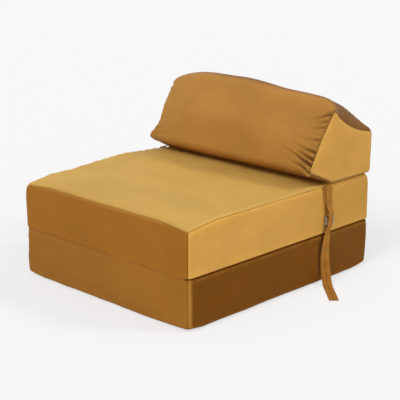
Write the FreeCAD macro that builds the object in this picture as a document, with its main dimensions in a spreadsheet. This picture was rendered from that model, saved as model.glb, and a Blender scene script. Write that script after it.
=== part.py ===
"""Fold-out foam chair bed with a bolster pillow, as a parametric document, in millimetres.

Two equal foam blocks in sewn velvet covers lie on each other. A fabric hinge joins them along their
front edges, and a second one joins the pillow to the rear edge of the upper block. Opened out, the
three lie in a line as a single bed. The origin is on the floor, under the middle of the blocks.
+X is the right side as seen from the front, -Y is the front and +Z is up, so the nodes named right
lie at +X.
"""
import FreeCAD
import Part
import math
import os
import Sketcher

V = FreeCAD.Vector
X_AXIS = V(1, 0, 0)
Y_AXIS = V(0, 1, 0)
Z_AXIS = V(0, 0, 1)
OVERSHOOT = 5.0

SIZES = {
    "block_width": 700,
    "block_depth": 800,
    "block_height": 150,
    "fold_gap": 0.5,
    "corner_radius": 18,
    "outer_edge_radius": 14,
    "fold_edge_radius": 5,
    "cover_thickness": 2,
    "foam_clearance": 0.3,
    "pillow_width": 700,
    "pillow_setback": 3,
    "pillow_foot_depth": 184,
    "pillow_nose_depth": 290,
    "pillow_nose_height": 52,
    "pillow_belly_depth": 262,
    "pillow_belly_height": 158,
    "pillow_ridge_depth": 176,
    "pillow_ridge_height": 285,
    "pillow_back_height": 155,
    "pillow_foot_radius": 12,
    "pillow_nose_radius": 26,
    "pillow_belly_radius": 90,
    "pillow_ridge_radius": 52,
    "pillow_back_radius": 34,
    "pillow_heel_radius": 10,
    "end_foot_depth": 193,
    "end_nose_depth": 303,
    "end_nose_height": 50,
    "end_belly_depth": 248,
    "end_belly_height": 150,
    "end_ridge_depth": 192,
    "end_ridge_height": 221,
    "end_back_height": 131,
    "end_foot_radius": 10,
    "end_nose_radius": 12,
    "end_belly_radius": 60,
    "end_ridge_radius": 14,
    "end_back_radius": 16,
    "end_heel_radius": 10,
    "end_panel_turn": 4,
    "pillow_base_seam_height": 5,
    "hinge_stand_off": 1,
    "hinge_leaf_height": 18,
    "hinge_leaf_thickness": 0.8,
    "hinge_bead_radius": 0.9,
    "hinge_end_margin": 24,
    "zip_end_margin": 40,
    "pillow_zip_end_margin": 50,
    "pillow_zip_height": 26,
    "zip_slot_height": 10,
    "zip_tape_thickness": 0.9,
    "zip_tape_recess": 1,
    "zip_tape_gap": 0.4,
    "zip_coil_width": 4,
    "zip_coil_height": 1.6,
    "zip_stop_length": 3,
    "zip_stop_height": 1.4,
    "slider_length": 11,
    "slider_width": 8,
    "slider_plate": 1.2,
    "slider_clearance": 0.3,
    "bail_length": 6,
    "bail_width": 2,
    "bail_wall": 1,
    "bail_opening_height": 1.8,
    "pull_length": 27,
    "pull_width": 7,
    "pull_thickness": 0.9,
    "pull_window_length": 5.6,
    "pull_window_width": 4,
    "tape_width": 30,
    "tape_thickness": 1.6,
    "tape_stand_off": 0.3,
    "strap_back_set": 208,
    "strap_root_drop": 4,
    "ring_bar_drop": 96,
    "ring_wire_radius": 1.75,
    "ring_clear_width": 31,
    "ring_leg": 16,
    "ring_spacing": 3.8,
    "loop_clearance": 0.6,
    "strap_clearance": 0.4,
    "strap_bend_radius": 5,
    "thread_drop": 18.5,
    "twist_start_drop": 38,
    "twist_end_height": 26,
    "tail_angle": 43,
    "tail_step_out": 12,
    "tail_step_forward": 5,
    "tail_bend_radius": 14,
    "tail_floor_length": 160,
    "tail_floor_gap": 0.3,
}

# How far along its half length the pillow has a section, and how much of its full swell it has there.
PILLOW_STATIONS = (
    (-1, 0), (-0.92, 0.3), (-0.7, 0.71), (-0.35, 0.965), (0, 1), (0.35, 0.965), (0.7, 0.71), (0.92, 0.3), (1, 0),
)

doc = FreeCAD.newDocument("ChairBed")
sheet = doc.addObject("Spreadsheet::Sheet", "Sizes")
for row, (alias, value) in enumerate(SIZES.items(), start=1):
    sheet.set(f"A{row}", alias.replace("_", " "))
    sheet.set(f"B{row}", str(value))
    sheet.setAlias(f"B{row}", alias)
doc.recompute()

NODES = {}


def size(alias):
    """The value of a named size in the sheet."""
    return float(sheet.get(alias))


def linked(text):
    """An expression in which every named size points at the sheet."""
    words = []
    word = ""
    for letter in text + " ":
        if letter.isalnum() or letter == "_":
            word += letter
            continue
        words.append(f"Sizes.{word}" if word in SIZES else word)
        words.append(letter)
        word = ""
    return "".join(words).strip()


def bind(thing, **values):
    """Bind properties of an object to expressions on the named sizes."""
    for name, text in values.items():
        thing.setExpression(name, linked(str(text)))
    return thing


def place(thing, x="0", y="0", z="0", axis=None, angle=0):
    """Turn an object about an axis and bind its place to expressions."""
    if axis is not None:
        thing.Placement = FreeCAD.Placement(V(), FreeCAD.Rotation(axis, angle))
    for letter, text in (("x", x), ("y", y), ("z", z)):
        thing.setExpression(f"Placement.Base.{letter}", linked(text))
    return thing


def node(name, thing):
    """Register an object as a sub-part under its own label."""
    thing.Label = name
    NODES[name] = thing
    return thing


def boxed(name, x, y, z):
    """A box from three (low, high) pairs of expressions."""
    box = doc.addObject("Part::Box", name)
    bind(box, Length=f"({x[1]}) - ({x[0]})", Width=f"({y[1]}) - ({y[0]})", Height=f"({z[1]}) - ({z[0]})")
    return place(box, x[0], y[0], z[0])


def cut(name, base, tool):
    result = doc.addObject("Part::Cut", name)
    result.Base = base
    result.Tool = tool
    return result


def common(name, base, tool):
    result = doc.addObject("Part::Common", name)
    result.Base = base
    result.Tool = tool
    return result


def fused(name, *pieces):
    result = doc.addObject("Part::MultiFuse", name)
    result.Shapes = list(pieces)
    return result


def inset(name, source, depth):
    """The solid that lies a constant depth inside another."""
    result = doc.addObject("Part::Offset", name)
    result.Source = source
    return bind(result, Value=f"-({depth})")


def sketch_on(body, role, name):
    """An empty sketch on one of the body's own origin planes."""
    sketch = body.newObject("Sketcher::SketchObject", name)
    plane = next(item for item in body.Origin.OriginFeatures if item.Role == role)
    sketch.AttachmentSupport = [(plane, "")]
    sketch.MapMode = "FlatFace"
    return sketch


def outline(sketch, corners):
    """A closed polygon whose corners are bound to expressions: (name, across, up, start across, start up)."""
    count = len(corners)
    for index in range(count):
        here = corners[index]
        after = corners[(index + 1) % count]
        sketch.addGeometry(Part.LineSegment(V(here[3], here[4], 0), V(after[3], after[4], 0)))
    for index in range(count):
        sketch.addConstraint(Sketcher.Constraint("Coincident", index, 2, (index + 1) % count, 1))
    for index, (name, across, up, start_across, start_up) in enumerate(corners):
        for kind, text, start in (("DistanceX", across, start_across), ("DistanceY", up, start_up)):
            rule = sketch.addConstraint(Sketcher.Constraint(kind, -1, 1, index, 1, start))
            label = f"{name}_{'across' if kind == 'DistanceX' else 'up'}"
            sketch.renameConstraint(rule, label)
            sketch.setExpression(f"Constraints.{label}", linked(text))


def pad(body, sketch, name, length):
    feature = body.newObject("PartDesign::Pad", name)
    feature.Profile = sketch
    bind(feature, Length=length)
    body.Tip = feature
    doc.recompute()
    return feature


def rounded(body, base, name, radius, wanted):
    """Round the edges of the tip for which wanted(edge) is true."""
    edges = [f"Edge{i}" for i, edge in enumerate(base.Shape.Edges, start=1) if wanted(edge)]
    if not edges:
        raise RuntimeError(f"{name} found no edge to round")
    feature = body.newObject("PartDesign::Fillet", name)
    feature.Base = (base, edges)
    bind(feature, Radius=radius)
    body.Tip = feature
    doc.recompute()
    return feature


def along(axis):
    """A test for straight edges along an axis."""
    def wanted(edge):
        return abs(edge.tangentAt(edge.FirstParameter).dot(axis)) > 0.999 and edge.Curve.TypeId == "Part::GeomLine"
    return wanted


def level(height):
    """A test for edges that lie at one height."""
    def wanted(edge):
        return abs(edge.BoundBox.ZMin - height) < 0.01 and abs(edge.BoundBox.ZMax - height) < 0.01
    return wanted


def block_envelope(prefix, base_height, top_radius, underside_radius):
    """The outer form of one block: a rounded box that stands at base_height."""
    half_width = size("block_width") / 2
    half_depth = size("block_depth") / 2
    body = doc.addObject("PartDesign::Body", f"{prefix}_envelope")
    sketch = sketch_on(body, "XY_Plane", f"{prefix}_footprint")
    outline(sketch, [
        ("front_left", "-block_width / 2", "-block_depth / 2", -half_width, -half_depth),
        ("front_right", "block_width / 2", "-block_depth / 2", half_width, -half_depth),
        ("rear_right", "block_width / 2", "block_depth / 2", half_width, half_depth),
        ("rear_left", "-block_width / 2", "block_depth / 2", -half_width, half_depth),
    ])
    solid = pad(body, sketch, f"{prefix}_height", "block_height")
    solid = rounded(body, solid, f"{prefix}_corners", "corner_radius", along(Z_AXIS))
    solid = rounded(body, solid, f"{prefix}_top_edge", top_radius, level(size("block_height")))
    rounded(body, solid, f"{prefix}_underside_edge", underside_radius, level(0))
    return place(body, z=base_height)


def mitre_region(name, width, height, x, y, z, axis=None, angle=0):
    """The part of a box behind one face, bounded by 45 degree planes through the face's edges."""
    reach = "(corner_radius + cover_thickness)"
    wedge = doc.addObject("Part::Wedge", name)
    bind(
        wedge,
        Xmin=f"-({width}) / 2 - cover_thickness", Xmax=f"({width}) / 2 + cover_thickness",
        Zmin=f"-({height}) / 2 - cover_thickness", Zmax=f"({height}) / 2 + cover_thickness",
        Ymin="-cover_thickness", Ymax=reach,
        X2min=f"-({width}) / 2 + {reach}", X2max=f"({width}) / 2 - {reach}",
        Z2min=f"-({height}) / 2 + {reach}", Z2max=f"({height}) / 2 - {reach}",
    )
    return place(wedge, x, y, z, axis, angle)


def split_at_zip(prefix, panel, rear, middle, length, below, above):
    """Part a rear panel along its zip: two pieces that meet beyond the zip's ends."""
    half = f"({length}) / 2"
    slot = boxed(
        f"{prefix}_zip_slot", (f"-{half}", half), (f"{rear} - 3 * cover_thickness", f"{rear} + {OVERSHOOT}"),
        (f"{middle} - zip_slot_height / 2", f"{middle} + zip_slot_height / 2"),
    )
    open_panel = cut(f"{prefix}_panel_with_slot", panel, slot)
    wide = ("-block_width", "block_width")
    deep = ("-block_depth", "block_depth")
    lower_side = boxed(f"{prefix}_below_zip", wide, deep, (f"{middle} - block_height", middle))
    upper_side = boxed(f"{prefix}_above_zip", wide, deep, (middle, f"{middle} + block_height"))
    node(below, common(f"{prefix}_lower", open_panel, lower_side))
    node(above, common(f"{prefix}_upper", open_panel, upper_side))


def zip_fastener(prefix, rear, middle, length):
    """A zip in a slot of the rear face: tapes, coil, end stops, slider and pull tab.

    The slider stands at the closed end, towards +X, and the pull tab lies flat towards -X.
    """
    half = f"({length}) / 2"
    tape_face = f"{rear} - zip_tape_recess"
    tape_depth = (f"{tape_face} - zip_tape_thickness", tape_face)
    lower_tape = boxed(
        f"{prefix}_lower_tape", (f"-{half}", half), tape_depth,
        (f"{middle} - zip_slot_height / 2", f"{middle} - zip_tape_gap / 2"),
    )
    upper_tape = boxed(
        f"{prefix}_upper_tape", (f"-{half}", half), tape_depth,
        (f"{middle} + zip_tape_gap / 2", f"{middle} + zip_slot_height / 2"),
    )
    tapes = doc.addObject("Part::Compound", f"{prefix}_tapes")
    tapes.Links = [lower_tape, upper_tape]
    node(f"{prefix}_zip_tapes", tapes)

    coil_high = (f"{middle} - zip_coil_width / 2", f"{middle} + zip_coil_width / 2")
    coil_end = f"({half} - zip_stop_length)"
    coil = boxed(
        f"{prefix}_coil", (f"-{coil_end}", coil_end), (tape_face, f"{tape_face} + zip_coil_height"), coil_high
    )
    node(f"{prefix}_zip_coil", coil)

    stop_depth = (tape_face, f"{tape_face} + zip_stop_height")
    closed_stop = boxed(f"{prefix}_closed_stop", (coil_end, half), stop_depth, coil_high)
    open_stop = boxed(f"{prefix}_open_stop", (f"-{half}", f"-{coil_end}"), stop_depth, coil_high)
    stops = doc.addObject("Part::Compound", f"{prefix}_stops")
    stops.Links = [closed_stop, open_stop]
    node(f"{prefix}_zip_stops", stops)

    slider_x = f"({half} - zip_stop_length - slider_clearance - slider_length / 2)"
    channel_top = f"({tape_face} + zip_coil_height + slider_clearance)"
    plate_top = f"({channel_top} + slider_plate)"
    shell = boxed(
        f"{prefix}_slider_block",
        (f"{slider_x} - slider_length / 2", f"{slider_x} + slider_length / 2"),
        (f"{tape_face} + slider_clearance", plate_top),
        (f"{middle} - slider_width / 2", f"{middle} + slider_width / 2"),
    )
    channel = boxed(
        f"{prefix}_slider_channel",
        (f"{slider_x} - slider_length", f"{slider_x} + slider_length"),
        (f"{tape_face} - {OVERSHOOT}", channel_top),
        (
            f"{middle} - zip_coil_width / 2 - slider_clearance",
            f"{middle} + zip_coil_width / 2 + slider_clearance",
        ),
    )
    bail_top = f"({plate_top} + bail_opening_height + bail_wall)"
    bail = boxed(
        f"{prefix}_bail_block",
        (f"{slider_x} - bail_length / 2", f"{slider_x} + bail_length / 2"),
        (f"{plate_top} - slider_plate / 2", bail_top),
        (f"{middle} - bail_width / 2", f"{middle} + bail_width / 2"),
    )
    eye = boxed(
        f"{prefix}_bail_eye",
        (f"{slider_x} - bail_length / 2 + bail_wall", f"{slider_x} + bail_length / 2 - bail_wall"),
        (plate_top, f"{plate_top} + bail_opening_height"),
        (f"{middle} - bail_width", f"{middle} + bail_width"),
    )
    body = cut(f"{prefix}_slider_body", shell, channel)
    node(f"{prefix}_zip_slider", cut(f"{prefix}_slider_open", fused(f"{prefix}_slider_whole", body, bail), eye))

    pull_axis = f"({plate_top} + bail_opening_height / 2)"
    pull_depth = (f"{pull_axis} - pull_thickness / 2", f"{pull_axis} + pull_thickness / 2")
    tab = boxed(
        f"{prefix}_pull_tab",
        (f"{slider_x} - pull_length", f"{slider_x} + pull_thickness / 2"), pull_depth,
        (f"{middle} - pull_width / 2", f"{middle} + pull_width / 2"),
    )
    window = boxed(
        f"{prefix}_pull_window",
        (f"{slider_x} - pull_thickness / 2 - pull_window_length", f"{slider_x} - pull_thickness / 2"),
        (f"{pull_axis} - pull_thickness", f"{pull_axis} + pull_thickness"),
        (f"{middle} - pull_window_width / 2", f"{middle} + pull_window_width / 2"),
    )
    node(f"{prefix}_zip_pull", cut(f"{prefix}_pull_open", tab, window))


def foam_block(prefix, base_height, top_radius, underside_radius):
    """One block: a foam core in a cover of mitred panels, with a zip across the rear border."""
    envelope = block_envelope(prefix, base_height, top_radius, underside_radius)
    lining = inset(f"{prefix}_lining", envelope, "cover_thickness")
    node(f"{prefix}_foam_core", inset(f"{prefix}_foam", envelope, "cover_thickness + foam_clearance"))
    cover = cut(f"{prefix}_cover", envelope, lining)
    middle = f"({base_height} + block_height / 2)"
    top = f"{base_height} + block_height"
    side = "block_width / 2"
    end = "block_depth / 2"
    zip_length = "(block_width - 2 * zip_end_margin)"
    regions = {
        "top_panel": ("block_width", "block_depth", "0", "0", top, X_AXIS, -90),
        "underside_panel": ("block_width", "block_depth", "0", "0", base_height, X_AXIS, 90),
        "front_border": ("block_width", "block_height", "0", f"-{end}", middle, None, 0),
        "rear_border": ("block_width", "block_height", "0", end, middle, Z_AXIS, 180),
        "left_border": ("block_depth", "block_height", f"-{side}", "0", middle, Z_AXIS, -90),
        "right_border": ("block_depth", "block_height", side, "0", middle, Z_AXIS, 90),
    }
    for name, region in regions.items():
        panel = common(f"{prefix}_{name}_cut", cover, mitre_region(f"{prefix}_{name}_region", *region))
        if name == "rear_border":
            split_at_zip(
                prefix, panel, end, middle, zip_length,
                f"{prefix}_rear_border_lower", f"{prefix}_rear_border_upper",
            )
        else:
            node(f"{prefix}_{name}", panel)
    zip_fastener(prefix, end, middle, zip_length)


def corner_arc(before, corner, after, radius):
    """The first, middle and last point of the arc that rounds a corner between two straight runs."""
    towards = (before - corner).normalize()
    away = (after - corner).normalize()
    half_angle = towards.getAngle(away) / 2
    reach = radius / math.tan(half_angle)
    centre = corner + (towards + away).normalize() * (radius / math.sin(half_angle))
    return corner + towards * reach, centre + (corner - centre).normalize() * radius, corner + away * reach


def pillow_section(x, swell, depth):
    """The pillow's rounded outline across its length, a constant depth inside the cover's outer face.

    The six corners lie between those of the end panel (swell 0) and those of the middle (swell 1).
    """
    def measure(corner, kind):
        at_end = size(f"end_{corner}_{kind}")
        return at_end + (size(f"pillow_{corner}_{kind}") - at_end) * swell

    rear = size("block_depth") / 2
    base = 2 * size("block_height") + 2 * size("fold_gap")
    setback = size("pillow_setback")
    corners = [V(x, rear - setback, base), V(x, rear - setback, base + measure("back", "height"))]
    for corner in ("ridge", "belly", "nose"):
        corners.append(V(x, rear - measure(corner, "depth"), base + measure(corner, "height")))
    corners.append(V(x, rear - measure("foot", "depth"), base))
    names = ("heel", "back", "ridge", "belly", "nose", "foot")
    arcs = [
        corner_arc(corners[index - 1], corners[index], corners[(index + 1) % len(corners)], measure(name, "radius"))
        for index, name in enumerate(names)
    ]
    edges = []
    for index, (first, middle, last) in enumerate(arcs):
        edges.append(Part.Arc(first, middle, last).toShape())
        edges.append(Part.LineSegment(last, arcs[(index + 1) % len(arcs)][0]).toShape())
    outline_wire = Part.Wire(edges)
    return outline_wire.makeOffset2D(-depth) if depth else outline_wire


def pillow_form(name, depth):
    """The crowned form of the pillow, or the same form a constant depth inside it."""
    half = size("pillow_width") / 2 - depth
    form = doc.addObject("Part::Feature", name)
    form.Shape = Part.makeLoft(
        [pillow_section(along * half, swell, depth) for along, swell in PILLOW_STATIONS], True
    )
    return form


def pillow(base_height):
    """The pillow: a filling in a cover of a wrap, a base panel, a rear strip and two end panels."""
    thickness = size("cover_thickness")
    node("pillow_fill", pillow_form("pillow_filling", thickness + size("foam_clearance")))
    cover = cut("pillow_cover", pillow_form("pillow_envelope", 0), pillow_form("pillow_lining", thickness))
    rear = "(block_depth / 2 - pillow_setback)"
    half = "pillow_width / 2"
    seam = f"({half} - end_panel_turn)"
    deep = ("-block_depth", "block_depth")
    high = ("0", "4 * block_height")
    right = boxed("pillow_right_region", (seam, f"{half} + {OVERSHOOT}"), deep, high)
    left = boxed("pillow_left_region", (f"-{half} - {OVERSHOOT}", f"-{seam}"), deep, high)
    between = boxed("pillow_middle_region", (f"-{seam}", seam), deep, high)
    node("pillow_right_end", common("pillow_right_cut", cover, right))
    node("pillow_left_end", common("pillow_left_cut", cover, left))
    sleeve = common("pillow_sleeve", cover, between)
    base_seam = f"({base_height} + pillow_base_seam_height)"
    wide = ("-pillow_width", "pillow_width")
    floor_side = boxed("pillow_base_region", wide, deep, ("0", base_seam))
    node("pillow_base_panel", common("pillow_base_cut", sleeve, floor_side))
    middle = f"({base_height} + pillow_zip_height)"
    rear_side = boxed(
        "pillow_rear_region", wide, (f"{rear} - pillow_back_radius", f"{rear} + {OVERSHOOT}"), (base_seam, middle)
    )
    above_base = cut("pillow_above_base", sleeve, floor_side)
    zip_length = "(pillow_width - 2 * pillow_zip_end_margin)"
    half_zip = f"{zip_length} / 2"
    slot = boxed(
        "pillow_zip_slot", (f"-{half_zip}", half_zip), (f"{rear} - 3 * cover_thickness", f"{rear} + {OVERSHOOT}"),
        (f"{middle} - zip_slot_height / 2", f"{middle} + zip_slot_height / 2"),
    )
    open_sleeve = cut("pillow_sleeve_with_slot", above_base, slot)
    node("pillow_rear_strip", common("pillow_rear_cut", open_sleeve, rear_side))
    node("pillow_wrap_panel", cut("pillow_wrap_cut", open_sleeve, rear_side))
    zip_fastener("pillow", rear, middle, zip_length)


def hinge_strip(name, face, outward, height):
    """A folded strip of fabric: a leaf sewn to a border and a bead on the line that it folds about."""
    half = "(block_width / 2 - hinge_end_margin)"
    near, far = face, f"{face} + {outward} * hinge_leaf_thickness"
    depth = (far, near) if outward < 0 else (near, far)
    leaf = boxed(f"{name}_leaf", (f"-{half}", half), depth, (f"{height} - hinge_leaf_height", height))
    bead = doc.addObject("Part::Cylinder", f"{name}_bead")
    bind(bead, Radius="hinge_bead_radius", Height=f"2 * {half}")
    place(bead, f"-{half}", f"{face} + {outward} * hinge_stand_off", height, Y_AXIS, 90)
    node(name, fused(f"{name}_whole", leaf, bead))


def run_and_arc_wire(points, radius):
    """Straight runs through the points, joined by tangent arcs of one radius."""
    edges = []
    start = points[0]
    for before, corner, after in zip(points, points[1:], points[2:]):
        first, middle, last = corner_arc(before, corner, after, radius)
        edges.append(Part.LineSegment(start, first).toShape())
        edges.append(Part.Arc(first, middle, last).toShape())
        start = last
    edges.append(Part.LineSegment(start, points[-1]).toShape())
    return Part.Wire(edges)


def ribbon(points, radius, thickness, across):
    """A flat tape of one thickness that follows the points, extruded across its width."""
    face = run_and_arc_wire(points, radius).makeOffset2D(thickness, fill=True, openResult=True)
    solid = face.extrude(across)
    solid.translate(across * -0.5)
    return solid


def ring(name, x, y, height):
    """A wire D-ring that hangs from its straight bar, in the plane of the side border."""
    wire = "ring_wire_radius"
    half = "(ring_clear_width / 2 + ring_wire_radius)"
    bar = bind(doc.addObject("Part::Cylinder", f"{name}_bar"), Radius=wire, Height=f"2 * {half}")
    place(bar, x, f"{y} + {half}", height, X_AXIS, 90)
    pieces = [bar]
    for side in ("-", "+"):
        leg = bind(doc.addObject("Part::Cylinder", f"{name}_leg"), Radius=wire, Height="ring_leg")
        pieces.append(place(leg, x, f"{y} {side} {half}", f"{height} - ring_leg"))
        corner = bind(doc.addObject("Part::Sphere", f"{name}_corner"), Radius=wire)
        pieces.append(place(corner, x, f"{y} {side} {half}", height))
    bow = bind(doc.addObject("Part::Torus", f"{name}_bow"), Radius1=half, Radius2=wire)
    bow.Angle3 = 180
    bow.Placement = FreeCAD.Placement(V(), FreeCAD.Rotation(V(0, 1, 0), V(0, 0, -1), V(1, 0, 0), "XYZ"))
    for letter, text in (("x", x), ("y", y), ("z", f"{height} - ring_leg")):
        bow.setExpression(f"Placement.Base.{letter}", linked(text))
    pieces.append(bow)
    return fused(name, *pieces)


def strap_set():
    """The strap set on the +X side: ring loop, two D-rings and the long strap, all sewn at one seam."""
    face = size("block_width") / 2
    seat_top = 2 * size("block_height") + size("fold_gap")
    thick = size("tape_thickness")
    width = V(0, size("tape_width"), 0)
    middle = size("block_depth") / 2 - size("strap_back_set")
    root = seat_top - size("strap_root_drop")
    bar_height = seat_top - size("ring_bar_drop")
    wire = size("ring_wire_radius")
    bore = size("ring_spacing") / 2 + wire + size("loop_clearance")
    loop_face = face + size("tape_stand_off")
    tube_x = loop_face + thick + bore
    outside = tube_x + bore + thick + size("strap_clearance")
    beside = loop_face + thick + size("strap_clearance")

    tube = Part.makeCylinder(bore + thick, width.y, V(tube_x, -width.y / 2, bar_height), Y_AXIS)
    plate = Part.makeBox(thick, width.y, root - bar_height, V(loop_face, -width.y / 2, bar_height))
    hollow = Part.makeCylinder(bore, width.y, V(tube_x, -width.y / 2, bar_height), Y_AXIS)
    loop = doc.addObject("Part::Feature", "right_loop")
    loop.Shape = tube.fuse(plate).cut(hollow).removeSplitter()
    loop.Placement = FreeCAD.Placement(V(0, middle, 0), FreeCAD.Rotation())
    node("right_ring_loop", loop)

    top = "(2 * block_height + fold_gap)"
    ring_height = f"({top} - ring_bar_drop)"
    loop_centre = (
        "(block_width / 2 + tape_stand_off + tape_thickness"
        " + ring_spacing / 2 + ring_wire_radius + loop_clearance)"
    )
    strap_y = "(block_depth / 2 - strap_back_set)"
    for name, side in (("right_inner_ring", "-"), ("right_outer_ring", "+")):
        node(name, ring(f"{name}_wire", f"{loop_centre} {side} ring_spacing / 2", strap_y, ring_height))

    thread_end = bar_height - size("thread_drop")
    twist_top = bar_height - size("twist_start_drop")
    inside = loop_face
    shoulder = bar_height + bore + thick + 2 * size("strap_bend_radius")
    bend = size("strap_bend_radius")
    route = [
        V(beside, 0, root),
        V(beside, 0, shoulder + bend),
        V(outside, 0, shoulder - bend),
        V(outside, 0, bar_height - bore),
        V(inside, 0, thread_end),
        V(inside, 0, twist_top),
    ]
    threaded = ribbon(route, bend / 2, thick, width)

    turn = math.radians(size("tail_angle"))
    flat = V(math.cos(turn), -math.sin(turn), 0)
    edge_way = V(math.sin(turn), math.cos(turn), 0)
    bend_top = V(
        inside + size("tail_step_out"), -size("tail_step_forward"), size("twist_end_height")
    )
    upper_corner = V(inside, -width.y / 2, twist_top)
    upper = Part.makePolygon([
        upper_corner, upper_corner + width, upper_corner + width + V(thick, 0, 0),
        upper_corner + V(thick, 0, 0), upper_corner,
    ])
    lower_corner = bend_top - edge_way * (width.y / 2)
    lower = Part.makePolygon([
        lower_corner, lower_corner + edge_way * width.y, lower_corner + edge_way * width.y + flat * thick,
        lower_corner + flat * thick, lower_corner,
    ])
    twist = Part.makeLoft([upper, lower], True, True)
    floor = size("tail_floor_gap")
    bent = [
        bend_top,
        V(bend_top.x, bend_top.y, floor),
        V(bend_top.x, bend_top.y, floor) + flat * size("tail_floor_length"),
    ]
    tail = ribbon(bent, size("tail_bend_radius"), thick, edge_way * width.y)
    strap = doc.addObject("Part::Feature", "right_strap")
    strap.Shape = threaded.fuse([twist, tail]).removeSplitter()
    strap.Placement = FreeCAD.Placement(V(0, middle, 0), FreeCAD.Rotation())
    node("right_long_strap", strap)


def mirrored_set(names):
    """The same pieces on the other side of the chair."""
    for name in names:
        twin = doc.addObject("Part::Mirroring", name.replace("right", "left"))
        twin.Source = NODES[name]
        twin.Base = V()
        twin.Normal = X_AXIS
        node(name.replace("right", "left"), twin)


SEAT_BASE = "(block_height + fold_gap)"
PILLOW_BASE = "(2 * block_height + 2 * fold_gap)"

foam_block("base", "0", "fold_edge_radius", "outer_edge_radius")
foam_block("seat", SEAT_BASE, "outer_edge_radius", "fold_edge_radius")
pillow(PILLOW_BASE)
hinge_strip("front_hinge_strip", "(-block_depth / 2)", -1, "(block_height + fold_gap / 2)")
hinge_strip("rear_hinge_strip", "(block_depth / 2)", 1, "(2 * block_height + 1.5 * fold_gap)")
strap_set()
mirrored_set(["right_ring_loop", "right_inner_ring", "right_outer_ring", "right_long_strap"])

doc.recompute()
for thing in doc.Objects:
    if "Invalid" in thing.State or "Error" in thing.State:
        raise RuntimeError(f"{thing.Label} failed: {thing.State}")
os.makedirs("parts", exist_ok=True)
for name, thing in NODES.items():
    shape = thing.Shape
    if shape.isNull() or not shape.isValid() or not shape.Solids:
        raise RuntimeError(f"{name} has no valid solid")
    shape.exportStep(f"parts/{name}.step")
    print(f"{name}: {len(shape.Solids)} solid(s), {shape.Volume / 1000:.2f} cm3")
print(f"{len(NODES)} sub-parts")
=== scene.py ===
"""Fold-out foam chair bed in golden velvet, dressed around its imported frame.

Everything is in metres in the frame of the part: the origin is on the floor under the middle of the
blocks, +X is the right side as seen from the front, -Y is the front and +Z is up.
"""

import math

import bpy
import numpy as np
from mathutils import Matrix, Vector


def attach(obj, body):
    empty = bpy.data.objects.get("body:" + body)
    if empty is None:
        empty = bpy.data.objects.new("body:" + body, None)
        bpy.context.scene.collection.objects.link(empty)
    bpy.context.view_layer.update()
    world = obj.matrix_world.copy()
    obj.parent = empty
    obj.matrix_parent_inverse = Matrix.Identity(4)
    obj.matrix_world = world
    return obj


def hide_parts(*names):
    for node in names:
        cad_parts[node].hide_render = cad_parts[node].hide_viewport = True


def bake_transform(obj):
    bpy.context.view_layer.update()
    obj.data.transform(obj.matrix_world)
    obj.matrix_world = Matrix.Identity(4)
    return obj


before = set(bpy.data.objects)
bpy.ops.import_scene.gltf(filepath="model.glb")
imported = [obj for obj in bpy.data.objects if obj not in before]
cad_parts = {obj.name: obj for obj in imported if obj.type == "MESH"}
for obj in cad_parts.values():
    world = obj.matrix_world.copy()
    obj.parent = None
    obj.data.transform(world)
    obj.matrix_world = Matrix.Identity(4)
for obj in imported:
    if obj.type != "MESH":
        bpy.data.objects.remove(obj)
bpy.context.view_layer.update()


def linear(red, green, blue):
    """A colour given in screen values from 0 to 255, as the linear values that nodes use."""
    def one(value):
        share = value / 255
        return share / 12.92 if share <= 0.04045 else ((share + 0.055) / 1.055) ** 2.4
    return (one(red), one(green), one(blue), 1.0)


def toned(colour, share):
    """A darker or paler tone of a linear colour."""
    return tuple(min(1.0, part * share) for part in colour[:3]) + (1.0,)


class Wire:
    """A shader socket that can be added and multiplied like a number."""

    def __init__(self, finish, socket):
        self.finish = finish
        self.socket = socket

    def maths(self, operation, *values):
        return self.finish.add("ShaderNodeMath", {"operation": operation}, dict(enumerate(values)))

    def __add__(self, other):
        return self.maths("ADD", self, other)

    def __radd__(self, other):
        return self.maths("ADD", other, self)

    def __mul__(self, other):
        return self.maths("MULTIPLY", self, other)

    def __rmul__(self, other):
        return self.maths("MULTIPLY", other, self)

    def sine(self):
        return self.maths("SINE", self)

    def or_more(self, other):
        return self.maths("MAXIMUM", self, other)

    def within(self, start, end):
        """0 at the start and before it, 1 at the end and beyond it, straight between them."""
        values = {0: self, 1: start, 2: end, 3: 0.0, 4: 1.0}
        return self.finish.add("ShaderNodeMapRange", {"clamp": True}, values)


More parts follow.
